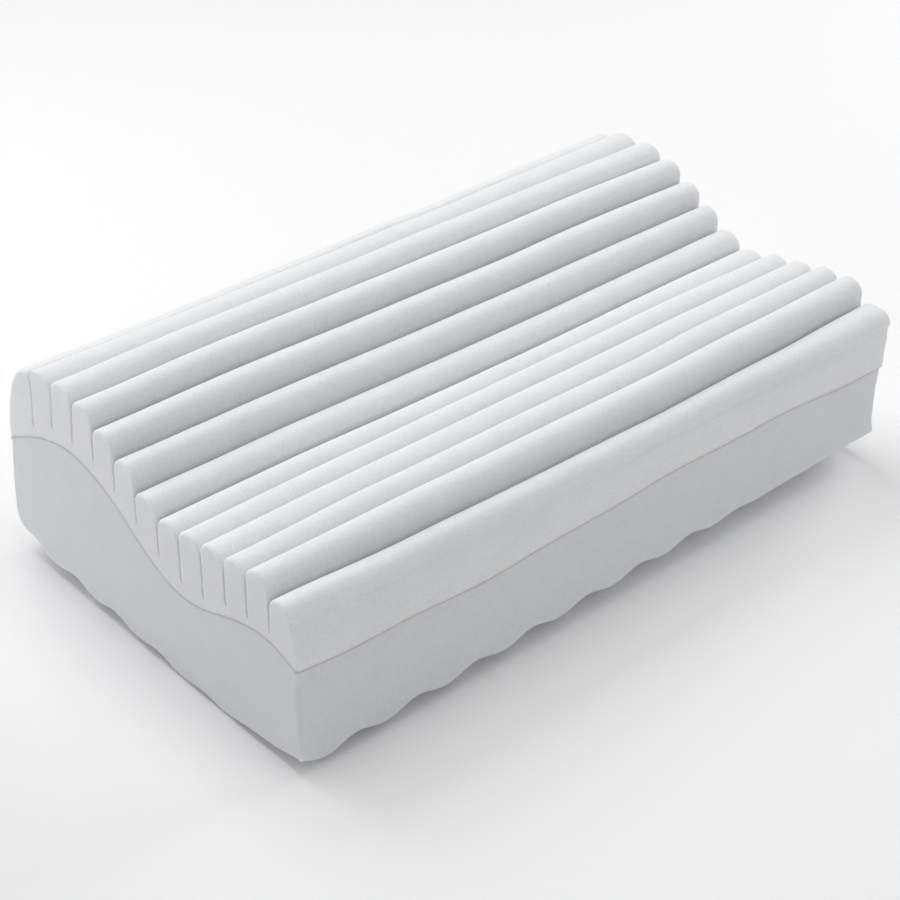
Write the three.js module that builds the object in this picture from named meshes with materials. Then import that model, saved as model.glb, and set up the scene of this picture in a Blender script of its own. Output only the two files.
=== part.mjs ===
// Cervical pillow of bare white foam: a ribbed soft pad glued on a contoured base block.
// Millimetres, +Z up. X runs along the ribs, +Y points to the high back edge of the pillow.
// The origin is on the floor, under the middle of the pillow. Both pieces are lofted solids:
// one closed section in Y and Z, worked out again at each station along X.
import * as THREE from 'three';

// Driving dimensions of the pillow
const LENGTH = 500;
const FRONT_Y = -149.5;
const GLUE_GAP = 0.4;
const END_ROUNDING = 2;
const ROUNDED_LENGTH = 4;
const LEAST_STEP = 2;
const FOAM_COLOUR = 0xe4e6e8;
const FOAM_ROUGHNESS = 0.95;

// Glue line between pad and base, seen from the end: one row per bend, from the back to the front.
const GLUE_LINE = [
  { y: 144.2, z: 86.5 },
  { y: 112, z: 102 },
  { y: 90, z: 109 },
  { y: 70, z: 111 },
  { y: 48, z: 106.5 },
  { y: 26, z: 97.5 },
  { y: 4, z: 83 },
  { y: -18, z: 71 },
  { y: -38, z: 66.3 },
  { y: -60, z: 68.8 },
  { y: -84, z: 77.2 },
  { y: -106, z: 82.5 },
  { y: -122, z: 83.2 },
  { y: -138, z: 78.5 },
  { y: -148, z: 74 },
];

// The glue line waves slowly along the front: its height there, its length and the x of its crest.
const SEAM_WAVE = { height: 3.4, length: 430, crestX: 95, reach: 60 };

// Ribs of the pad, from the back edge to the front. tops are the heights of the rib's top at the
// knots, from the left end to the right: the soft foam sags and rises a little. The slit in front
// of the rib ends at slitY and slitZ, and its mouth lies lean further to the front.
const KNOTS = [-250, -150, -50, 50, 150, 250];
const RIBS = [
  { tops: [147.7, 146.9, 148.3, 150.3, 150.9, 151], slitY: 112.5, slitZ: 109.4, lean: 2.7 },
  { tops: [154.6, 154, 154.9, 155.8, 156.8, 158.2], slitY: 89.6, slitZ: 118.3, lean: 3 },
  { tops: [156.7, 158.2, 158.3, 159.3, 159.3, 159.3], slitY: 67, slitZ: 120, lean: 2.8 },
  { tops: [153.1, 154.9, 154.4, 154.3, 155.1, 154.3], slitY: 45, slitZ: 116, lean: 1.2 },
  { tops: [143.9, 145.1, 144.1, 143.5, 145, 143.7], slitY: 23.8, slitZ: 106.9, lean: 0.6 },
  { tops: [132.8, 133.4, 132.3, 132.1, 132.8, 131.7], slitY: 3, slitZ: 93.5, lean: 0 },
  { tops: [120, 121, 119.9, 120.1, 120.9, 120], slitY: -18.6, slitZ: 82.3, lean: 0 },
  { tops: [113.2, 114.3, 113.1, 113.6, 115.1, 114.3], slitY: -39.9, slitZ: 76.2, lean: 0 },
  { tops: [115.7, 117.3, 117.6, 118.9, 120.1, 119.1], slitY: -61.5, slitZ: 77.7, lean: 0 },
  { tops: [119.4, 120.6, 120.9, 121.4, 122.4, 122.8], slitY: -83.9, slitZ: 85.7, lean: 0 },
  { tops: [122.1, 123.9, 124.1, 124, 126.8, 127], slitY: -104.6, slitZ: 89, lean: 0 },
  { tops: [125.3, 125.4, 124.9, 124.6, 126.7, 128.1], slitY: -125, slitZ: 90, lean: 0 },
  { tops: [116.4, 112.4, 111.2, 110.3, 112.9, 116.2], slitY: null, slitZ: null, lean: 0 },
];

// Round tops of the ribs over upright walls: the height of the arch on the back and on the front
// of a rib, half the width of an open slit, how much wider it is at the cut ends, and the angles
// at which an arch is drawn.
const ARCH_BACK = 7.5;
const ARCH_FRONT = 9.2;
const SLIT_HALF = 0.8;
const SLIT_FLARE = 0.8;
const ARCH_ANGLES = [90, 62, 36, 12];

// Outer walls of the pad. The back wall goes up from the glue line and turns over into the first
// rib; the front wall has a shallow neck under the last rib and swells again down to the glue.
const PAD_BACK = [
  { y: 144.8, z: 94 },
  { y: 143.5, z: 103 },
  { y: 140.7, z: 114 },
  { y: 136.4, z: 126.5 },
  { y: 131.4, z: 136.5 },
  { y: 126.2, z: 143 },
  { y: 120.5, z: 146.5 },
];
const FIRST_RIB_TOP = { y: 115.5, z: 147.7 };
const PAD_NECK = { y: -145, z: 105 };
const PAD_SWELL = { y: -148.4, z: 90 };
const TURNOVER_Z = 134;

// Towards its right end the pad splays: its back ribs lean back, and the front wall of the last
// rib swells out, from fromY on and down to lowZ.
const SPLAY = { reach: 6.5, startX: 60, halfDepth: 140, lowZ: 82 };
const END_SWELL = { reach: 6, fromY: -125, lowZ: 85 };

// Base block: the right end stops short of the rib ends, and the walls lean out to the floor.
const BASE_SHORT = 4;
const BASE_BACK = [
  { y: 146.6, z: 21 },
  { y: 150.9, z: 29 },
  { y: 149.2, z: 52 },
  { y: 146.4, z: 76.6 },
];
const BASE_FRONT_MIDDLE = { y: -149, z: 48 };

// Underside of the base, a shallow convoluted cut: rows of lobes with flattened tips. The waves
// along the pillow fade towards its right end. At the front edge only they are left, and at the
// left end, up to endReach, all waves are shallow.
const LOBES = {
  pitch: 46,
  middleX: -3,
  middleY: -30,
  alongDepth: 5.5,
  acrossDepth: 5,
  tipFlat: 2,
  frontFrom: 5,
  frontTo: 30,
  fadeFrom: 40,
  fadeTo: 160,
  fadedShare: 0.1,
  endReach: 25,
  endShare: 0.2,
};

// Lifts of the underside: the front edge rises to the right, the left front corner is rounded
// off, the back edge is bevelled, and the left end is bowed.
const FRONT_LIFT = { foot: 4.7, height: 16.7, fromX: -230, toX: 216, reach: 70 };
const CORNER_LIFT = { height: 3.7, alongX: 20, alongY: 50 };
const BACK_LIFT = { height: 14, fromY: 112, toY: 146.6 };
const END_BOW = { back: 7.4, backFrom: -34, backTo: 110, front: 3, frontFrom: -77, frontTo: -112 };

// Where the solids are drawn: steps between lobes, as distances from a lobe's middle, and the
// number of steps along the glue line
const LOBE_STEPS_X = [-5.5, 5.5, 13, 23, 33];
const LOBE_STEPS_Y = [-6, 6, 17, 29];
const LOBE_COUNT_X = 11;
const LOBE_COUNT_Y = 6;
const MIDDLE_ROW = 2;
const CORNER_CLEARANCE = 3;
const GLUE_STEPS = 21;

const clamp01 = (t) => THREE.MathUtils.clamp(t, 0, 1);
const ramp = (value, from, to) => clamp01((value - from) / (to - from));
const smoothRamp = (value, from, to) => THREE.MathUtils.smoothstep(value, from, to);
const wave = (turns) => (1 - Math.cos(2 * Math.PI * turns)) / 2;

// 1 on the end faces, easing to 0 where the rounding of the end edges stops
function endSoftness(x, left, right) {
  const inside = Math.min(x - left, right - x);
  return (1 - clamp01(inside / ROUNDED_LENGTH)) ** 2;
}

function seamShift(x, y) {
  const turns = (x - SEAM_WAVE.crestX) / SEAM_WAVE.length;
  const nearFront = 1 - smoothRamp(y, FRONT_Y, FRONT_Y + SEAM_WAVE.reach);
  return SEAM_WAVE.height * Math.cos(2 * Math.PI * turns) * nearFront;
}

// Height of the glue surface: a smooth curve through the rows of the glue line, plus the wave
const glueCurve = new THREE.SplineCurve(GLUE_LINE.map((row) => new THREE.Vector2(row.y, row.z)));

function gluePoints(x, lift) {
  const points = glueCurve.getPoints(GLUE_STEPS);
  return points.map((p) => ({ y: p.x, z: p.y + seamShift(x, p.x) + lift }));
}

// Height of the underside above the floor
function undersideHeight(x, y) {
  const faded = 1 - (1 - LOBES.fadedShare) * smoothRamp(x, LOBES.fadeFrom, LOBES.fadeTo);
  const atEnd = 1 - ramp(x, -LENGTH / 2, -LENGTH / 2 + LOBES.endReach);
  const kept = 1 - (1 - LOBES.endShare) * atEnd;
  const offFront = ramp(y, FRONT_Y + LOBES.frontFrom, FRONT_Y + LOBES.frontTo);
  const along = LOBES.alongDepth * wave((x - LOBES.middleX) / LOBES.pitch) * faded * kept;
  const across = LOBES.acrossDepth * wave((y - LOBES.middleY) / LOBES.pitch) * kept * offFront;
  const relief = Math.max(0, along + across - LOBES.tipFlat * offFront);

  const toFront = 1 - ramp(y, FRONT_Y, FRONT_Y + FRONT_LIFT.reach);
  const rightward = ramp(x, FRONT_LIFT.fromX, FRONT_LIFT.toX);
  const front = (FRONT_LIFT.foot + FRONT_LIFT.height * rightward) * toFront ** 2;
  const cornerX = 1 - ramp(x, -LENGTH / 2, -LENGTH / 2 + CORNER_LIFT.alongX);
  const cornerY = 1 - ramp(y, FRONT_Y, FRONT_Y + CORNER_LIFT.alongY);
  const corner = CORNER_LIFT.height * cornerX ** 2 * cornerY ** 2;
  const back = BACK_LIFT.height * ramp(y, BACK_LIFT.fromY, BACK_LIFT.toY);
  const bowBack = END_BOW.back * ramp(y, END_BOW.backFrom, END_BOW.backTo);
  const bowFront = END_BOW.front * ramp(y, END_BOW.frontFrom, END_BOW.frontTo);
  return relief + front + corner + back + (bowBack + bowFront) * atEnd ** 2;
}

// Loft: a section at each station, counter-clockwise as seen from +X, with flat end faces
function loft(stations, sectionAt) {
  const sections = stations.map(sectionAt);
  const count = sections[0].length;
  const positions = sections.flatMap((section, s) => section.flatMap((p) => [stations[s], p.y, p.z]));
  const index = [];
  for (let s = 0; s + 1 < stations.length; s += 1) {
    for (let i = 0; i < count; i += 1) {
      const near = s * count;
      const far = near + count;
      const next = (i + 1) % count;
      index.push(near + i, near + next, far + next, near + i, far + next, far + i);
    }
  }
  const lastStation = (stations.length - 1) * count;
  const outline = (section) => section.map((p) => new THREE.Vector2(p.y, p.z));
  for (const [a, b, c] of THREE.ShapeUtils.triangulateShape(outline(sections[0]), [])) {
    index.push(a, c, b);
  }
  for (const [a, b, c] of THREE.ShapeUtils.triangulateShape(outline(sections.at(-1)), [])) {
    index.push(lastStation + a, lastStation + b, lastStation + c);
  }
  const geometry = new THREE.BufferGeometry();
  geometry.setAttribute('position', new THREE.Float32BufferAttribute(positions, 3));
  geometry.setIndex(index);
  geometry.computeVertexNormals();
  return geometry;
}

// Height of a rib's crest at a station
function crestAt(rib, x, softness) {
  const climbs = rib.tops.slice(1).map((top, k) => {
    return (top - rib.tops[k]) * smoothRamp(x, KNOTS[k], KNOTS[k + 1]);
  });
  return rib.tops[0] + climbs.reduce((sum, climb) => sum + climb) - END_ROUNDING * softness;
}

// Half of a rib's arch: a quarter of an ellipse from the wall to the crest, or down again
function archPoints(topY, crest, wallY, height, angles) {
  return angles.map((degrees) => {
    const angle = THREE.MathUtils.degToRad(degrees);
    return {
      y: topY + (wallY - topY) * Math.sin(angle),
      z: crest - height * (1 - Math.cos(angle)),
    };
  });
}

// The ribs from back to front: round tops, parted by slits that narrow to a line
function ribPoints(x, softness) {
  const points = [];
  const half = SLIT_HALF + SLIT_FLARE * softness;
  const crests = RIBS.map((rib) => crestAt(rib, x, softness));
  const mouths = RIBS.map((rib) => rib.slitY - rib.lean);
  RIBS.forEach((rib, i) => {
    const first = i === 0;
    const last = i === RIBS.length - 1;
    const backWall = first ? FIRST_RIB_TOP.y : mouths[i - 1] - half;
    const frontWall = last ? PAD_NECK.y : mouths[i] + half;
    const topY = first ? FIRST_RIB_TOP.y : (backWall + frontWall) / 2;
    const frontHeight = last ? crests[i] - PAD_NECK.z : ARCH_FRONT;
    if (!first) {
      points.push(...archPoints(topY, crests[i], backWall, ARCH_BACK, ARCH_ANGLES));
    }
    points.push(...archPoints(topY, crests[i], frontWall, frontHeight, ARCH_ANGLES.toReversed()));
    if (!last) {
      points.push({ y: rib.slitY, z: rib.slitZ });
    }
  });
  return points;
}

// The back ribs lean back and the last rib swells to the front, more and more to the right end
function splay(point, x) {
  const rightward = smoothRamp(x, SPLAY.startX, LENGTH / 2);
  const high = ramp(point.z, SPLAY.lowZ, PAD_NECK.z);
  const back = SPLAY.reach * (Math.max(0, point.y) / SPLAY.halfDepth) ** 3 * high;
  const swollen = ramp(point.y, END_SWELL.fromY, PAD_NECK.y) * ramp(point.z, END_SWELL.lowZ, PAD_NECK.z);
  return { y: point.y + rightward * (back - END_SWELL.reach * swollen), z: point.z };
}

function padSection(x) {
  const softness = endSoftness(x, -LENGTH / 2, LENGTH / 2);
  const tuck = END_ROUNDING * softness;
  const glue = gluePoints(x, GLUE_GAP).reverse();
  const back = PAD_BACK.map((p) => ({ y: p.y - tuck, z: p.z - (p.z > TURNOVER_Z ? tuck : 0) }));
  const swell = { y: PAD_SWELL.y + tuck, z: PAD_SWELL.z + seamShift(x, PAD_SWELL.y) };
  const above = [...back, ...ribPoints(x, softness), swell];
  return [...glue, ...above.map((p) => splay(p, x))];
}

function baseSection(x) {
  const right = LENGTH / 2 - BASE_SHORT;
  const tuck = END_ROUNDING * endSoftness(x, -LENGTH / 2, right);
  const across = [];
  for (let row = 0; row < LOBE_COUNT_Y; row += 1) {
    const middle = LOBES.middleY + (row - MIDDLE_ROW) * LOBES.pitch;
    across.push(...LOBE_STEPS_Y.map((step) => middle + step));
  }
  const innerFrom = FRONT_Y + CORNER_CLEARANCE;
  const innerTo = BACK_LIFT.toY - CORNER_CLEARANCE;
  const inner = across.filter((y) => y > innerFrom && y < innerTo);
  const underside = [FRONT_Y + tuck, ...inner].map((y) => ({ y, z: undersideHeight(x, y) }));
  const back = BASE_BACK.map((p) => ({ y: p.y - tuck, z: p.z }));
  const frontMiddle = { y: BASE_FRONT_MIDDLE.y + tuck, z: BASE_FRONT_MIDDLE.z };
  return [...underside, ...back, ...gluePoints(x, 0), frontMiddle];
}

// Stations along the pillow: the pad needs one per lobe pitch, the base several
const lobeMiddles = [];
for (let i = 0; i < LOBE_COUNT_X; i += 1) {
  lobeMiddles.push(LOBES.middleX + (i - (LOBE_COUNT_X - 1) / 2) * LOBES.pitch);
}

function stationsBetween(left, right, inner) {
  const margin = ROUNDED_LENGTH + LEAST_STEP;
  const kept = inner.filter((x) => x > left + margin && x < right - margin);
  const leftEnd = [left, left + ROUNDED_LENGTH / 2, left + ROUNDED_LENGTH];
  const rightEnd = [right - ROUNDED_LENGTH, right - ROUNDED_LENGTH / 2, right];
  return [...leftEnd, ...kept, ...rightEnd];
}

function foamPiece(name, geometry) {
  const foam = new THREE.MeshStandardMaterial({
    color: FOAM_COLOUR,
    roughness: FOAM_ROUGHNESS,
    metalness: 0,
  });
  const mesh = new THREE.Mesh(geometry, foam);
  mesh.name = name;
  return mesh;
}

function ribbedPad() {
  const stations = stationsBetween(-LENGTH / 2, LENGTH / 2, lobeMiddles);
  return foamPiece('ribbed_pad', loft(stations, padSection));
}

function baseBlock() {
  const inner = lobeMiddles.flatMap((middle) => LOBE_STEPS_X.map((step) => middle + step));
  const stations = stationsBetween(-LENGTH / 2, LENGTH / 2 - BASE_SHORT, inner);
  return foamPiece('base_block', loft(stations, baseSection));
}

const pillow = new THREE.Group();
pillow.add(ribbedPad(), baseBlock());

// The swollen rib reaches further to the front than the base to the back: all is centred in Y
const extent = new THREE.Box3().setFromObject(pillow);
pillow.position.y = -extent.getCenter(new THREE.Vector3()).y;

export default pillow;
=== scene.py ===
# Cervical pillow of bare white foam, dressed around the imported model. Metres, +Z up.
# X runs along the ribs, +Y points to the high back edge, and the pillow stands on z = 0.
import math
from collections import namedtuple

import bpy
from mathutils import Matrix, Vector


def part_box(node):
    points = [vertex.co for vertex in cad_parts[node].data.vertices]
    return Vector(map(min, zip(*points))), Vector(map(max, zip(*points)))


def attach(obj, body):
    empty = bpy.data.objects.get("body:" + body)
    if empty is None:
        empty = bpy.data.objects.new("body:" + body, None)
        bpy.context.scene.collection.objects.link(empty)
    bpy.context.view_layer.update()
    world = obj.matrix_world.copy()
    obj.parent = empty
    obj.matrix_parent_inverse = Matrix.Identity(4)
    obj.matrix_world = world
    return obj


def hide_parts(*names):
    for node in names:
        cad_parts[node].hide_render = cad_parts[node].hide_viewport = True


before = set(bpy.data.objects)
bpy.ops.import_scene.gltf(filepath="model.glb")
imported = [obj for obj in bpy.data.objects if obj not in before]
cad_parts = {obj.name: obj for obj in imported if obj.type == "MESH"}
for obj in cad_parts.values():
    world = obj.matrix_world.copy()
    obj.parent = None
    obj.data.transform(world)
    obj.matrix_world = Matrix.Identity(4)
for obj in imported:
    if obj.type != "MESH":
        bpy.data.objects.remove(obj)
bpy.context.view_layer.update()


# Camera: a long lens at the photograph's angle, from the left front and above.
# It looks 33 degrees down, and 41 degrees away from the pillow's depth.
CAMERA_PLACE = (-0.77133, -0.87028, 0.80383)
CAMERA_HEADING = math.radians(41.21)
CAMERA_DROP = math.radians(33.30)
LENS_MM = 83.96
SENSOR_MM = 36.0

camera = bpy.data.objects.new("camera", bpy.data.cameras.new("camera"))
camera.location = CAMERA_PLACE
camera.rotation_euler = (math.pi / 2 - CAMERA_DROP, 0, -CAMERA_HEADING)
camera.data.lens = LENS_MM
camera.data.sensor_width = SENSOR_MM
bpy.context.scene.collection.objects.link(camera)
bpy.context.scene.camera = camera


# Floor and light: a plain white floor under large soft lamps. The strongest are over the back and
# at the right, so that the rib tops are bright and the front walls fall into soft shade.
FLOOR_HALF = 6.0
FLOOR_COLOUR = (0.96, 0.96, 0.965, 1)
FLOOR_ROUGHNESS = 0.9
SKY_COLOUR = (0.96, 0.98, 1.0, 1)
SKY_STRENGTH = 0.03
LAMP_SIZE = 1.4
Lamp = namedtuple("Lamp", "name place power")
LAMPS = [
    Lamp("overhead", (0.0, 0.0, 2.2), 10.6),
    Lamp("over_front", (0.0, -1.2, 1.9), 7.4),
    Lamp("over_back", (0.0, 1.4, 1.7), 18.6),
    Lamp("over_back_left", (-0.8, 0.9, 1.9), 4.5),
    Lamp("left_low", (-0.9, 0.6, 0.15), 6.1),
    Lamp("right", (2.2, 0.0, 0.9), 25.6),
    Lamp("front", (0.0, -2.2, 0.9), 4.7),
    Lamp("front_left", (-1.6, -1.6, 1.2), 2.6),
    Lamp("front_right", (1.3, -1.5, 0.7), 2.8),
]

floor_mesh = bpy.data.meshes.new("floor")
corners = [(-1, -1), (1, -1), (1, 1), (-1, 1)]
floor_mesh.from_pydata([(x * FLOOR_HALF, y * FLOOR_HALF, 0) for x, y in corners], [], [(0, 1, 2, 3)])
floor_finish = bpy.data.materials.new("floor")
floor_finish.use_nodes = True
floor_shader = floor_finish.node_tree.nodes["Principled BSDF"]
floor_shader.inputs["Base Color"].default_value = FLOOR_COLOUR
floor_shader.inputs["Roughness"].default_value = FLOOR_ROUGHNESS
floor_mesh.materials.append(floor_finish)
floor = bpy.data.objects.new("floor", floor_mesh)
bpy.context.scene.collection.objects.link(floor)

sky = bpy.data.worlds.new("sky")
sky.use_nodes = True
sky.node_tree.nodes["Background"].inputs["Color"].default_value = SKY_COLOUR
sky.node_tree.nodes["Background"].inputs["Strength"].default_value = SKY_STRENGTH
bpy.context.scene.world = sky
bpy.context.scene.view_settings.view_transform = "Standard"

for lamp in LAMPS:
    light = bpy.data.lights.new(lamp.name, "AREA")
    light.size = LAMP_SIZE
    light.energy = lamp.power
    holder = bpy.data.objects.new(lamp.name, light)
    holder.location = lamp.place
    holder.rotation_euler = (-Vector(lamp.place)).to_track_quat("-Z", "Y").to_euler()
    bpy.context.scene.collection.objects.link(holder)


# Ribbed pad: one block of soft open-cell foam, slit from above so that thirteen round ribs stand
# side by side along the whole pillow. It is cut by a shaped blade, and glued on the base block.
# Its cross-section is worked out here, and a node tree draws it along the pillow by a rule.
PILLOW_LENGTH = 0.5
FRONT_Y = -0.1495
GLUE_GAP = 0.00005

Point = namedtuple("Point", "y z")

# Glue line between pad and base, from the back to the front
GLUE_LINE = [
    Point(0.1442, 0.0865),
    Point(0.1120, 0.1020),
    Point(0.0900, 0.1090),
    Point(0.0700, 0.1110),
    Point(0.0480, 0.1065),
    Point(0.0260, 0.0975),
    Point(0.0040, 0.0830),
    Point(-0.0180, 0.0710),
    Point(-0.0380, 0.0663),
    Point(-0.0600, 0.0688),
    Point(-0.0840, 0.0772),
    Point(-0.1060, 0.0825),
    Point(-0.1220, 0.0832),
    Point(-0.1380, 0.0785),
    Point(-0.1480, 0.0740),
]
GLUE_STEPS = 4

# Ribs from the back edge to the front. tops are the heights of the rib's top at the stations, from
# the left end to the right: the soft foam sags and rises a little along the pillow. The slit in
# front of the rib ends at slit_y and slit_z, and its mouth lies lean further to the front.
STATIONS = [-0.25, -0.15, -0.05, 0.05, 0.15, 0.25]
Rib = namedtuple("Rib", "tops slit_y slit_z lean")
RIBS = [
    Rib((0.1477, 0.1469, 0.1483, 0.1503, 0.1509, 0.1510), 0.1125, 0.1094, 0.0027),
    Rib((0.1546, 0.1540, 0.1549, 0.1558, 0.1568, 0.1582), 0.0896, 0.1183, 0.0030),
    Rib((0.1567, 0.1582, 0.1583, 0.1593, 0.1593, 0.1593), 0.0670, 0.1200, 0.0028),
    Rib((0.1531, 0.1549, 0.1544, 0.1543, 0.1551, 0.1543), 0.0450, 0.1160, 0.0012),
    Rib((0.1439, 0.1451, 0.1441, 0.1435, 0.1450, 0.1437), 0.0238, 0.1069, 0.0006),
    Rib((0.1328, 0.1334, 0.1323, 0.1321, 0.1328, 0.1317), 0.0030, 0.0935, 0),
    Rib((0.1200, 0.1210, 0.1199, 0.1201, 0.1209, 0.1200), -0.0186, 0.0823, 0),
    Rib((0.1132, 0.1143, 0.1131, 0.1136, 0.1151, 0.1143), -0.0399, 0.0762, 0),
    Rib((0.1157, 0.1173, 0.1176, 0.1189, 0.1201, 0.1191), -0.0615, 0.0777, 0),
    Rib((0.1194, 0.1206, 0.1209, 0.1214, 0.1224, 0.1228), -0.0839, 0.0857, 0),
    Rib((0.1221, 0.1239, 0.1241, 0.1240, 0.1268, 0.1270), -0.1046, 0.0890, 0),
    Rib((0.1253, 0.1254, 0.1249, 0.1246, 0.1267, 0.1281), -0.1250, 0.0900, 0),
    Rib((0.1164, 0.1124, 0.1112, 0.1103, 0.1129, 0.1162), None, None, 0),
]

# Outer walls of the pad. The back wall turns over into the first rib, and the front wall has a
# shallow neck under the last rib and swells again down to the glue.
PAD_BACK = [
    Point(0.1448, 0.0940),
    Point(0.1435, 0.1030),
    Point(0.1407, 0.1140),
    Point(0.1364, 0.1265),
    Point(0.1314, 0.1365),
    Point(0.1262, 0.1430),
    Point(0.1205, 0.1465),
]
FIRST_RIB_TOP = Point(0.1155, 0.1477)
PAD_FRONT = [
    Point(-0.1442, 0.1070),
    Point(-0.1443, 0.1035),
    Point(-0.1459, 0.0985),
    Point(-0.1476, 0.0925),
    Point(-0.1487, 0.0850),
    Point(-0.1488, 0.0785),
]
WALL_STEPS = 3

# From these heights up the walls follow the rise and fall of the first and of the last rib
BACK_FOLLOWS_FROM = 0.124
FRONT_FOLLOWS_FROM = 0.089

# Round tops over upright walls: the height of the arch on the back and on the front of a rib, half
# the width of a slit, and how finely an arch and a slit wall are drawn
ARCH_BACK = 0.0075
ARCH_FRONT = 0.0092
SLIT_HALF = 0.0007
ARCH_STEPS = 13
SLIT_STEPS = 7

# Roundings where the pad was cut to length: of its top, of its slits and of its glued edges
TOP_ROUNDING = 0.0022
SLIT_ROUNDING = 0.0012
GLUED_EDGE = 0.00008

# A spot of a cross-section: its place, its rib and how far it follows that rib's top, how far it
# follows the wave of the glue line, the radius that it is rounded by at both ends, how much glue it
# shows, and how far it belongs to the underside.
Spot = namedtuple("Spot", "y z rib follow seam edge glue under", defaults=(0, 0, 0, TOP_ROUNDING, 0, 0))


def share(value, low, high):
    """How far a value is from low to high, from 0 to 1"""
    return min(1, max(0, (value - low) / (high - low)))


def smooth_path(rows, steps):
    """A smooth curve through the rows, with this many steps from one row to the next"""
    rows = [Vector(row) for row in rows]
    ends = [rows[0], *rows, rows[-1]]
    path = []
    for before, start, end, after in zip(ends, ends[1:], ends[2:], ends[3:]):
        for step in range(steps):
            t = step / steps
            bend = (end - before) * t
            bend += (2 * before - 5 * start + 4 * end - after) * t ** 2
            bend += (3 * start - before - 3 * end + after) * t ** 3
            path.append(Point(*(start + bend / 2)))
    path.append(Point(*rows[-1]))
    return path


def glue_spots(lift):
    """The glue line from the back to the front, with small roundings at its two edges"""
    path = smooth_path(GLUE_LINE, GLUE_STEPS)
    inner = [p for p in path if path[-1].y + GLUED_EDGE < p.y < path[0].y - GLUED_EDGE]
    side = math.copysign(GLUED_EDGE, lift)
    back = [Point(path[0].y, path[0].z + side), Point(path[0].y - GLUED_EDGE, path[0].z)]
    front = [Point(path[-1].y + GLUED_EDGE, path[-1].z), Point(path[-1].y, path[-1].z + side)]
    return [Spot(p.y, p.z + lift, seam=1, edge=GLUED_EDGE, glue=1) for p in [*back, *inner, *front]]


def arch_spots(rib, top_y, wall_y, height, rising):
    """Half of a rib's round top, a quarter of an ellipse, from the wall to the crest or down again"""
    spots = []
    for step in range(ARCH_STEPS + 1):
        turn = step / ARCH_STEPS
        angle = math.pi / 2 * (1 - turn if rising else turn)
        y = top_y + (wall_y - top_y) * math.sin(angle)
        z = RIBS[rib].tops[0] - height * (1 - math.cos(angle))
        edge = SLIT_ROUNDING + (TOP_ROUNDING - SLIT_ROUNDING) * math.cos(angle)
        spots.append(Spot(y, z, rib, 1, edge=edge))
    return spots if rising else spots[1:]


def slit_spots(mouth, bottom):
    """One wall of a slit, from just below its mouth to just above its bottom"""
    spots = []
    for step in range(1, SLIT_STEPS):
        t = step / SLIT_STEPS
        spots.append(Spot(
            mouth.y + (bottom.y - mouth.y) * t,
            mouth.z + (bottom.z - mouth.z) * t,
            mouth.rib,
            1 - t,
            edge=SLIT_ROUNDING,
        ))
    return spots


def rib_spots():
    """All ribs from the back to the front, with the slits between them"""
    spots = []
    wall_y = FIRST_RIB_TOP.y
    for i, rib in enumerate(RIBS):
        last = i == len(RIBS) - 1
        front_y = PAD_FRONT[0].y if last else rib.slit_y - rib.lean + SLIT_HALF
        top_y = FIRST_RIB_TOP.y if i == 0 else (wall_y + front_y) / 2
        front_height = rib.tops[0] - PAD_FRONT[0].z if last else ARCH_FRONT
        if i > 0:
            rising = arch_spots(i, top_y, wall_y, ARCH_BACK, True)
            spots += reversed(slit_spots(rising[0], bottom))
            spots += rising
        spots += arch_spots(i, top_y, front_y, front_height, False)
        if not last:
            bottom = Spot(rib.slit_y, rib.slit_z, edge=SLIT_ROUNDING)
            spots += slit_spots(spots[-1], bottom)
            spots.append(bottom)
            wall_y = rib.slit_y - rib.lean - SLIT_HALF
    return spots


def pad_section():
    """The pad's closed outline: up the back wall, over the ribs, down the front, along the glue"""
    glue = glue_spots(GLUE_GAP)
    back = smooth_path([(glue[0].y, glue[0].z), *PAD_BACK, FIRST_RIB_TOP], WALL_STEPS)[1:]
    front = smooth_path([*PAD_FRONT, (glue[-1].y, glue[-1].z)], WALL_STEPS)[1:-1]
    last = len(RIBS) - 1
    spots = [Spot(p.y, p.z, 0, share(p.z, BACK_FOLLOWS_FROM, FIRST_RIB_TOP.z)) for p in back]
    spots += rib_spots()
    for p in front:
        follow = share(p.z, FRONT_FOLLOWS_FROM, PAD_FRONT[0].z)
        seam = share(p.z, PAD_FRONT[0].z, FRONT_FOLLOWS_FROM)
        spots.append(Spot(p.y, p.z, last, follow, seam))
    return spots + glue[::-1]


# How much higher a rib's top is at a station than at the station before
CLIMBS = [f"climb_{k}" for k in range(1, len(STATIONS))]


def section_object(name, spots):
    """A ring of edges through the spots, which carries their values as attributes"""
    places = [Vector((0, s.y, s.z)) for s in spots]
    count = len(spots)
    mesh = bpy.data.meshes.new(name)
    mesh.from_pydata(places, [(i, (i + 1) % count) for i in range(count)], [])
    values = {field: [getattr(s, field) for s in spots] for field in ("seam", "edge", "glue", "under")}
    for k, field in enumerate(CLIMBS):
        values[field] = [s.follow * (RIBS[s.rib].tops[k + 1] - RIBS[s.rib].tops[k]) for s in spots]
    for field, numbers in values.items():
        mesh.attributes.new(field, "FLOAT", "POINT").data.foreach_set("value", numbers)
    section = mesh.attributes.new("section", "FLOAT_VECTOR", "POINT")
    outward = mesh.attributes.new("outward", "FLOAT_VECTOR", "POINT")
    for i in range(count):
        along = (places[(i + 1) % count] - places[i - 1]).normalized()
        section.data[i].vector = places[i]
        outward.data[i].vector = (0, along.z, -along.y)
    holder = bpy.data.objects.new(name, mesh)
    bpy.context.scene.collection.objects.link(holder)
    return holder


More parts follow.
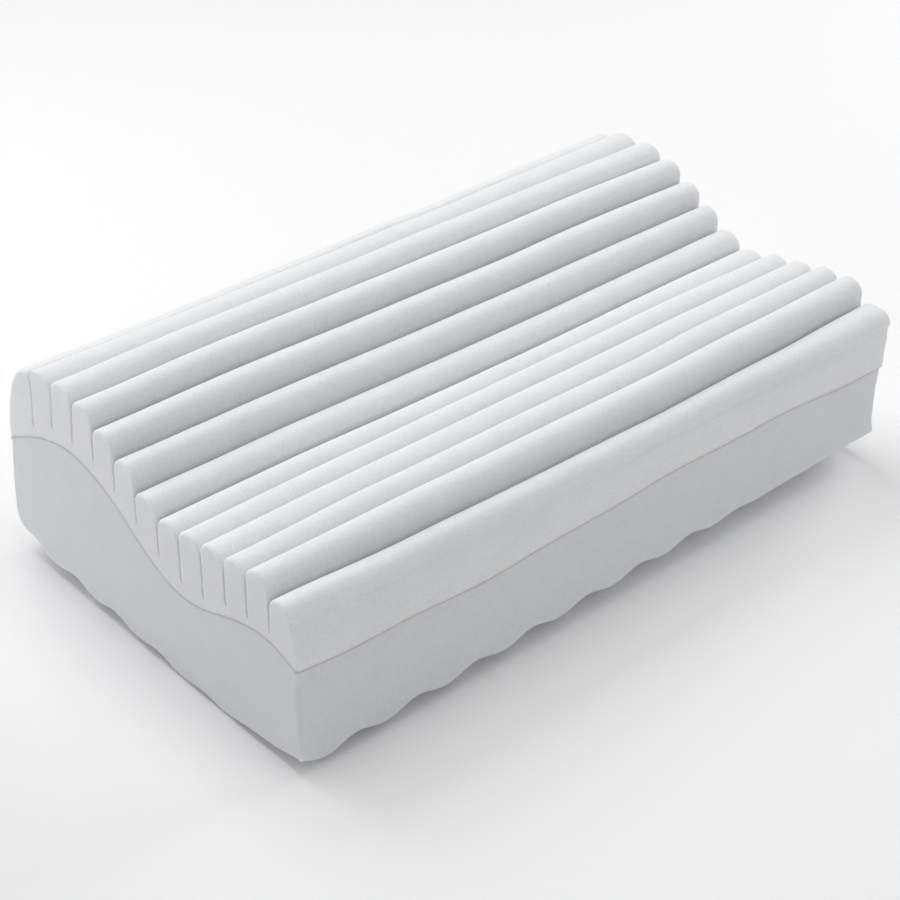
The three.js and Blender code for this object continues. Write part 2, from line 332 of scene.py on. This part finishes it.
class Number:
    """A value at every point of a foam piece, inside a node tree, that adds and multiplies like a number"""

    def __init__(self, tree, socket):
        self.tree = tree
        self.socket = socket

    def math(self, operation, *others):
        node = self.tree.nodes.new("ShaderNodeMath")
        node.operation = operation
        for slot, value in zip(node.inputs, (self, *others)):
            plug(self.tree, value, slot)
        return Number(self.tree, node.outputs[0])

    def __add__(self, other):
        return self.math("ADD", other)

    def __radd__(self, other):
        return self.math("ADD", other)

    def __sub__(self, other):
        return self.math("SUBTRACT", other)

    def __rsub__(self, other):
        return self.math("MULTIPLY", -1) + other

    def __mul__(self, other):
        return self.math("MULTIPLY", other)

    def __truediv__(self, other):
        return self.math("DIVIDE", other)

    def __pow__(self, other):
        return self.math("POWER", other)


def plug(tree, value, slot):
    """Sets a node's slot to a plain value, or links it to a Number or a socket"""
    if isinstance(value, Number):
        value = value.socket
    if isinstance(value, bpy.types.NodeSocket):
        tree.links.new(value, slot)
    else:
        slot.default_value = value


def add_node(tree, kind, values=(), **settings):
    """A new node with its settings and its input values"""
    node = tree.nodes.new(kind)
    for key, setting in settings.items():
        setattr(node, key, setting)
    for key, value in dict(values).items():
        plug(tree, value, node.inputs[key])
    return node


def ramp(value, low, high, curve="LINEAR"):
    """Rises from 0 to 1 as the value goes from low to high"""
    ends = {"Value": value, "From Min": low, "From Max": high}
    node = add_node(value.tree, "ShaderNodeMapRange", ends, interpolation_type=curve)
    return Number(value.tree, node.outputs["Result"])


def wave(turns):
    """0 at every whole turn and 1 half-way between"""
    return 0.5 - (turns * math.tau).math("COSINE") * 0.5


def parts_of(tree, vector):
    """The X, Y and Z of a vector"""
    node = add_node(tree, "ShaderNodeSeparateXYZ", {"Vector": vector})
    return [Number(tree, out) for out in node.outputs]


def stored(tree, name, kind="FLOAT"):
    """A value that the section's ring or the stations carry"""
    node = add_node(tree, "GeometryNodeInputNamedAttribute", {"Name": name}, data_type=kind)
    return node.outputs["Attribute"]


# Bulges are this many times longer along the pillow than across it, and fade out below this height
BULGE_STRETCH = 2
BULGES_FROM = 0.03


def unevenness(tree, size, x, y, z):
    """Slow random bulges of the soft foam, none at the floor: how far a point moves in Y and in Z"""
    across = {"Y": y * BULGE_STRETCH, "Z": z * BULGE_STRETCH}
    place = add_node(tree, "ShaderNodeCombineXYZ", {"X": x, **across})
    noise = add_node(tree, "ShaderNodeTexNoise", {
        "Vector": place.outputs["Vector"],
        "W": size["Seed"],
        "Scale": size["Bulge length"] ** -1,
        "Detail": 1.0,
    }, noise_dimensions="4D")
    _, push_y, push_z = parts_of(tree, noise.outputs["Color"])
    reach = size["Bulge height"] * 2 * ramp(z, 0.0, BULGES_FROM)
    return (push_y - 0.5) * reach, (push_z - 0.5) * reach


# How far inside the cut ends the glue begins to show
GLUE_INSIDE = 0.0001


def foam_tree(name, sizes, counts, rule, material):
    """A node tree that draws a cross-section along X and then moves its points by the rule"""
    tree = bpy.data.node_groups.new(name, "GeometryNodeTree")
    tree.interface.new_socket(name="Geometry", in_out="INPUT", socket_type="NodeSocketGeometry")
    tree.interface.new_socket(name="Geometry", in_out="OUTPUT", socket_type="NodeSocketGeometry")
    for key in sizes:
        tree.interface.new_socket(name=key, in_out="INPUT", socket_type="NodeSocketFloat")
    for key in counts:
        tree.interface.new_socket(name=key, in_out="INPUT", socket_type="NodeSocketInt")
    given = tree.nodes.new("NodeGroupInput")
    size = {key: Number(tree, given.outputs[key]) for key in sizes}
    left, right = size["Left end"], size["Right end"]

    # Stations crowd towards both ends, where the edges are rounded
    line = add_node(tree, "GeometryNodeCurvePrimitiveLine", {"End": (1, 0, 0)})
    many = add_node(tree, "GeometryNodeResampleCurve", {
        "Curve": line.outputs["Curve"],
        "Count": given.outputs["Stations"],
    })
    along = Number(tree, tree.nodes.new("GeometryNodeSplineParameter").outputs["Factor"])
    crowded = ((along - 0.5) * math.pi).math("SINE") * 0.5 + 0.5
    station = left + (right - left) * crowded
    spine = add_node(tree, "GeometryNodeSetPosition", {
        "Geometry": many.outputs["Curve"],
        "Position": add_node(tree, "ShaderNodeCombineXYZ", {"X": station}).outputs["Vector"],
    })
    marked = add_node(tree, "GeometryNodeStoreNamedAttribute", {
        "Geometry": spine.outputs["Geometry"],
        "Name": "station",
        "Value": station,
    }, data_type="FLOAT", domain="POINT")
    ring = add_node(tree, "GeometryNodeMeshToCurve", {"Mesh": given.outputs["Geometry"]})
    loft = add_node(tree, "GeometryNodeCurveToMesh", {
        "Curve": marked.outputs["Geometry"],
        "Profile Curve": ring.outputs["Curve"],
        "Fill Caps": True,
    })

    # The edges are rounded where the foam was cut to length
    x = Number(tree, stored(tree, "station"))
    edge = Number(tree, stored(tree, "edge"))
    _, y, z = parts_of(tree, stored(tree, "section", "FLOAT_VECTOR"))
    _, out_y, out_z = parts_of(tree, stored(tree, "outward", "FLOAT_VECTOR"))
    inside = (x - left).math("MINIMUM", right - x)
    short = (edge - inside).math("MAXIMUM", 0)
    inset = edge - (edge * edge - short * short).math("MAXIMUM", 0).math("SQRT")
    y, z = rule(tree, size, x, y - out_y * inset, z - out_z * inset)
    push_y, push_z = unevenness(tree, size, x, y, z)
    shaped = add_node(tree, "GeometryNodeSetPosition", {
        "Geometry": loft.outputs["Mesh"],
        "Position": add_node(tree, "ShaderNodeCombineXYZ", {
            "X": x,
            "Y": y + push_y + size["Shift"],
            "Z": z + push_z,
        }).outputs["Vector"],
    })
    glued = add_node(tree, "GeometryNodeStoreNamedAttribute", {
        "Geometry": shaped.outputs["Geometry"],
        "Name": "glue",
        "Value": Number(tree, stored(tree, "glue")) * ramp(inside, 0.0, GLUE_INSIDE),
    }, data_type="FLOAT", domain="POINT")
    real = add_node(tree, "GeometryNodeRealizeInstances", {"Geometry": glued.outputs["Geometry"]})
    dressed = add_node(tree, "GeometryNodeSetMaterial", {
        "Geometry": real.outputs["Geometry"],
        "Material": material,
    })
    result = tree.nodes.new("NodeGroupOutput")
    tree.links.new(dressed.outputs["Geometry"], result.inputs["Geometry"])
    return tree


def foam_piece(name, spots, sizes, counts, rule, material):
    """Runs the tree on the cross-section, and keeps the result as a plain mesh"""
    section = section_object(name + "_section", spots)
    tree = foam_tree(name, sizes, counts, rule, material)
    modifier = section.modifiers.new(name, "NODES")
    modifier.node_group = tree
    values = {**sizes, **counts}
    for item in tree.interface.items_tree:
        if item.in_out == "INPUT" and item.name in values:
            modifier[item.identifier] = values[item.name]
    evaluated = section.evaluated_get(bpy.context.evaluated_depsgraph_get())
    mesh = bpy.data.meshes.new_from_object(evaluated)
    section.modifiers.remove(modifier)
    bpy.data.objects.remove(section)
    mesh.name = name
    for field in (*CLIMBS, "seam", "edge", "under", "section", "outward", "station"):
        mesh.attributes.remove(mesh.attributes[field])
    for polygon in mesh.polygons:
        polygon.use_smooth = len(polygon.vertices) == 4
    piece = bpy.data.objects.new(name, mesh)
    bpy.context.scene.collection.objects.link(piece)
    return piece


# How far from the front the wave of the glue line reaches, the height from which the right end
# splays, and the Y range at the front and at the back of the dip over which its splay sets in
SEAM_REACH = 0.06
SPLAY_FROM = GLUE_LINE[-1].z + 0.008
DIP_FRONT = (-0.045, -0.015)
DIP_BACK = (0.06, -0.005)


def seam_shift(size, x, y):
    """The slow wave and the ripple of the glue line along the front"""
    slow = ((x - size["Seam crest"]) / size["Seam length"] * math.tau).math("COSINE")
    quick = ((x - size["Ripple crest"]) / size["Ripple length"] * math.tau).math("COSINE")
    near_front = 1 - ramp(y, FRONT_Y, FRONT_Y + SEAM_REACH, "SMOOTHSTEP")
    return (slow * size["Seam height"] + quick * size["Ripple height"]) * near_front


def pad_rule(tree, size, x, y, z):
    """The rise and fall of the ribs, the wave of the glued edge, and the splay of the right end"""
    z = z + Number(tree, stored(tree, "seam")) * seam_shift(size, x, y)
    for field, start, end in zip(CLIMBS, STATIONS, STATIONS[1:]):
        z = z + Number(tree, stored(tree, field)) * ramp(x, start, end, "SMOOTHSTEP")
    rightward = ramp(x, size["Splay start"], PILLOW_LENGTH / 2, "SMOOTHSTEP")
    high = ramp(z, SPLAY_FROM, PAD_FRONT[0].z)
    back = size["Splay"] * (y.math("MAXIMUM", 0) / size["Splay half depth"]) ** 3
    dip = ramp(y, *DIP_FRONT, "SMOOTHSTEP") * ramp(y, *DIP_BACK, "SMOOTHSTEP")
    back = back + size["Dip splay"] * dip * rightward ** 2
    swollen = ramp(y, RIBS[-2].slit_y, PAD_FRONT[0].y) * ramp(z, size["Swell low"], PAD_FRONT[0].z)
    return y + rightward * (back * high - size["End swell"] * swollen), z


# Bare white foam: matt, with fine open cells, a faint mottle and a few pinholes. The pinholes are
# dented in the bump and painted darker, as painted shade inside the holes. The glue shows as a faint
# warm line along the edges that it holds.
PAD_COLOUR = (0.846, 0.852, 0.868, 1)
PAD_MOTTLE = (0.778, 0.784, 0.800, 1)
GLUE_COLOUR = (0.74, 0.71, 0.64, 1)
# Painted shade: the pinholes get this darker colour to stand for the shade inside the holes
PINHOLE_SHADE_COLOUR = (0.55, 0.56, 0.58, 1)

# Scales of the noise, the share of the broad patches in the mottle, the noise range that it spans,
# and the pinholes: their rim in shares of a cell, which cells have one, and their depth in the grain
GRAIN_SCALE = 1100
PATCH_SCALE = 60
CELL_SCALE = 130
WAVE_SCALE = 55
PATCH_SHARE = 0.2
MOTTLE_RANGE = (0.38, 0.62)
PINHOLE_RIM = (0.04, 0.09)
PINHOLE_DRAW = (0.97, 0.98)
PINHOLE_DEPTH = 2

# The sockets for colour on a Mix node, which has others of the same names
MIX_FACTOR, MIX_FIRST, MIX_SECOND, MIX_RESULT = 0, 6, 7, 2


def foam_material(name, colour, mottle):
    """Cut foam: grain and colour from noise in the piece's own coordinates"""
    material = bpy.data.materials.new(name)
    material.use_nodes = True
    tree = material.node_tree
    shader = tree.nodes["Principled BSDF"]
    shader.inputs["Roughness"].default_value = 0.95
    shader.inputs["Specular IOR Level"].default_value = 0.15
    shader.inputs["Sheen Weight"].default_value = 0.08
    shader.inputs["Sheen Roughness"].default_value = 0.6
    shader.inputs["Subsurface Weight"].default_value = 1.0
    shader.inputs["Subsurface Radius"].default_value = (1.0, 1.0, 1.0)
    shader.inputs["Subsurface Scale"].default_value = 0.004
    place = tree.nodes.new("ShaderNodeTexCoord").outputs["Object"]

    def noise(scale, detail):
        values = {"Vector": place, "Scale": scale, "Detail": detail}
        return Number(tree, add_node(tree, "ShaderNodeTexNoise", values).outputs[0])

    def blend(factor, first, second):
        node = add_node(tree, "ShaderNodeMix", data_type="RGBA")
        plug(tree, factor, node.inputs[MIX_FACTOR])
        plug(tree, first, node.inputs[MIX_FIRST])
        plug(tree, second, node.inputs[MIX_SECOND])
        return node.outputs[MIX_RESULT]

    grain = noise(GRAIN_SCALE, detail=3)
    patches = noise(PATCH_SCALE, detail=3)
    cells = add_node(tree, "ShaderNodeTexVoronoi", {"Vector": place, "Scale": CELL_SCALE})
    hole = 1 - ramp(Number(tree, cells.outputs["Distance"]), *PINHOLE_RIM)
    cell_draw = parts_of(tree, cells.outputs["Color"])[0]
    # This mask marks the pinholes: it dents the bump below and places the painted shade inside them
    pinhole_dent_and_shade = hole * ramp(cell_draw, *PINHOLE_DRAW)
    clouded = grain * (1 - PATCH_SHARE) + patches * PATCH_SHARE
    mixed = blend(ramp(clouded, *MOTTLE_RANGE), colour, mottle)
    # Painted shade inside the pinholes
    mixed = blend(pinhole_dent_and_shade, mixed, PINHOLE_SHADE_COLOUR)
    glue = add_node(tree, "ShaderNodeAttribute", attribute_name="glue")
    mixed = blend(Number(tree, glue.outputs["Fac"]) * grain, mixed, GLUE_COLOUR)
    tree.links.new(mixed, shader.inputs["Base Color"])

    fine = add_node(tree, "ShaderNodeBump", {
        "Strength": 0.5,
        "Distance": 0.0004,
        "Height": grain - pinhole_dent_and_shade * PINHOLE_DEPTH,
    })
    broad = add_node(tree, "ShaderNodeBump", {
        "Strength": 0.35,
        "Distance": 0.0012,
        "Height": noise(WAVE_SCALE, detail=2),
        "Normal": fine.outputs["Normal"],
    })
    tree.links.new(broad.outputs["Normal"], shader.inputs["Normal"])
    return material


base_low, base_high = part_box("base_block")
BASE_BACK_Y = 0.1509
COMMON_SIZES = {
    "Shift": base_high.y - BASE_BACK_Y,
    "Seam height": 0.0034,
    "Seam length": 0.430,
    "Seam crest": 0.095,
    "Ripple height": 0.0008,
    "Ripple length": 0.105,
    "Ripple crest": 0.046,
    "Bulge height": 0.0006,
    "Bulge length": 0.09,
    "Seed": 7.0,
}
pad_low, pad_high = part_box("ribbed_pad")
pad = foam_piece(
    "foam_pad",
    pad_section(),
    {
        **COMMON_SIZES,
        "Left end": pad_low.x,
        "Right end": pad_high.x,
        "Splay": 0.0065,
        "Splay start": 0.060,
        "Splay half depth": 0.140,
        "Dip splay": 0.0030,
        "End swell": 0.0060,
        "Swell low": 0.085,
    },
    {"Stations": 120},
    pad_rule,
    foam_material("pad_foam", PAD_COLOUR, PAD_MOTTLE),
)
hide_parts("ribbed_pad")
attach(pad, "root")


# Base block: firmer foam that carries the pad, high at the back, dipped in the middle and raised
# at the front. Its top is cut along the glue line, and its underside is a shallow convoluted cut,
# rows of round lobes that stand on the bed.
UNDERSIDE_BACK = Point(0.1360, 0.0045)
BASE_BACK = [
    Point(0.1435, 0.0108),
    Point(0.1481, 0.0196),
    Point(0.1506, 0.0280),
    Point(0.1501, 0.0400),
    Point(0.1492, 0.0520),
    Point(0.1475, 0.0660),
    Point(0.1460, 0.0780),
]
BASE_FRONT = [
    Point(-0.1484, 0.0700),
    Point(-0.1489, 0.0600),
    Point(-0.1492, 0.0480),
    Point(-0.1494, 0.0340),
    Point(-0.1495, 0.0181),
    Point(-0.1494, 0.0068),
    Point(-0.1489, 0.0025),
    Point(-0.1475, 0.0004),
]
BASE_COLOUR = (0.762, 0.770, 0.790, 1)
BASE_MOTTLE = (0.700, 0.708, 0.728, 1)
UNDERSIDE_STEPS = 96

# How far the glued face lies below the glue line
GLUE_DROP = GLUE_GAP / 4

# The underside starts to turn up to the back at this Y. Up to these heights the back and the front
# wall follow its lobes, less and less, and from the last one up the front wall follows the glue line.
TURN_UP_Y = 0.112
BACK_LOBES_TO = 0.024
FRONT_LOBES_TO = 0.034
FRONT_SEAM_FROM = 0.070

# Roundings of the cut ends, at the underside and at the front corners. Those are full up to this
# height and fade out up to the glue.
UNDERSIDE_EDGE = 0.003
CORNER_ROUNDING = 0.0045
CORNER_FULL_TO = 0.059

# Lobes are shallower near the left end, least so at the back, and their tips are less flat there.
# Near the front edge the rows across the pillow fade out.
END_REACH = 0.025
END_FADE = 0.8
END_FADE_AT_BACK = 0.15
END_FADE_RANGE = (-0.1, 0.05)
END_TIP_FADE = 0.6
TIP_SOFTNESS = 0.002
FRONT_FADE_RANGE = (FRONT_Y + 0.005, FRONT_Y + 0.03)

# Lifts: where the front lift starts, the reach of the corner lift along X and Y, and the ranges of Y
# over which the left end bows up to the back and to the front
LIFT_START = 0.02
CORNER_REACH = (0.02, 0.05)
BOW_BACK_RANGE = (-0.034, 0.11)
BOW_FRONT_RANGE = (-0.077, -0.112)


def base_section():
    """The base's closed outline: along the underside, up the back, along the glue, down the front"""
    glue = glue_spots(-GLUE_DROP)
    front = smooth_path([(glue[-1].y, glue[-1].z), *BASE_FRONT], WALL_STEPS)[1:]
    back = smooth_path([UNDERSIDE_BACK, *BASE_BACK, (glue[0].y, glue[0].z)], WALL_STEPS)[1:-1]
    first_y = front[-1].y
    spots = []
    for step in range(1, UNDERSIDE_STEPS):
        y = first_y + (UNDERSIDE_BACK.y - first_y) * step / UNDERSIDE_STEPS
        z = UNDERSIDE_BACK.z * share(y, TURN_UP_Y, UNDERSIDE_BACK.y)
        spots.append(Spot(y, z, edge=UNDERSIDE_EDGE, under=1))
    for p in back:
        under = 1 - share(p.z, UNDERSIDE_BACK.z, BACK_LOBES_TO)
        spots.append(Spot(p.y, p.z, edge=UNDERSIDE_EDGE, under=under))
    spots += glue
    for p in front:
        risen = share(p.z, 0, FRONT_LOBES_TO)
        edge = GLUED_EDGE + CORNER_ROUNDING * min(risen, share(p.z, GLUE_LINE[-1].z, CORNER_FULL_TO))
        seam = share(p.z, FRONT_LOBES_TO, FRONT_SEAM_FROM)
        spots.append(Spot(p.y, p.z, seam=seam, edge=edge, under=1 - risen))
    return spots


def base_rule(tree, size, x, y, z):
    """The wave of the glued edge, and the lobes and lifts of the underside"""
    seam, under = (Number(tree, stored(tree, field)) for field in ("seam", "under"))
    z = z + seam * seam_shift(size, x, y)
    faded = 1 - ramp(x, size["Fade from"], size["Fade to"], "SMOOTHSTEP") * size["Fade"]
    at_end = 1 - ramp(x, size["Left end"], size["Left end"] + END_REACH)
    shallow = at_end * (END_FADE - ramp(y, *END_FADE_RANGE) * (END_FADE - END_FADE_AT_BACK))
    off_front = ramp(y, *FRONT_FADE_RANGE)
    along = size["Lobe depth along"] * wave((x - size["Lobe middle x"]) / size["Lobe pitch"])
    across = size["Lobe depth across"] * wave((y - size["Lobe middle y"]) / size["Lobe pitch"])
    both = along * faded * (1 - at_end * END_FADE) + across * (1 - shallow) * off_front
    tip = size["Lobe tip"] * off_front * (1 - at_end * END_TIP_FADE)
    relief = (both - tip).math("SMOOTH_MAX", 0, TIP_SOFTNESS)

    to_front = 1 - ramp(y, FRONT_Y, FRONT_Y + size["Front lift reach"])
    rightward = ramp(x, size["Left end"] + LIFT_START, size["Front lift end"])
    front = (size["Front foot"] + size["Front lift"] * rightward) * to_front ** 2
    corner_x = 1 - ramp(x, size["Left end"], size["Left end"] + CORNER_REACH[0])
    corner_y = 1 - ramp(y, FRONT_Y, FRONT_Y + CORNER_REACH[1])
    corner = size["Corner lift"] * corner_x ** 2 * corner_y ** 2
    bow_back = size["End lift back"] * ramp(y, *BOW_BACK_RANGE)
    bow_front = size["End lift front"] * ramp(y, *BOW_FRONT_RANGE)
    return y, z + under * (relief + front + corner + at_end ** 2 * (bow_back + bow_front))


base = foam_piece(
    "foam_base",
    base_section(),
    {
        **COMMON_SIZES,
        "Left end": base_low.x,
        "Right end": base_high.x,
        "Lobe pitch": 0.046,
        "Lobe middle x": -0.003,
        "Lobe middle y": -0.030,
        "Lobe depth along": 0.0055,
        "Lobe depth across": 0.005,
        "Lobe tip": 0.002,
        "Fade from": 0.040,
        "Fade to": 0.160,
        "Fade": 0.9,
        "Front foot": 0.0047,
        "Front lift": 0.0167,
        "Front lift end": 0.216,
        "Front lift reach": 0.070,
        "Corner lift": 0.0037,
        "End lift back": 0.0074,
        "End lift front": 0.0030,
    },
    {"Stations": 170},
    base_rule,
    foam_material("base_foam", BASE_COLOUR, BASE_MOTTLE),
)
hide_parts("base_block")
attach(base, "root")
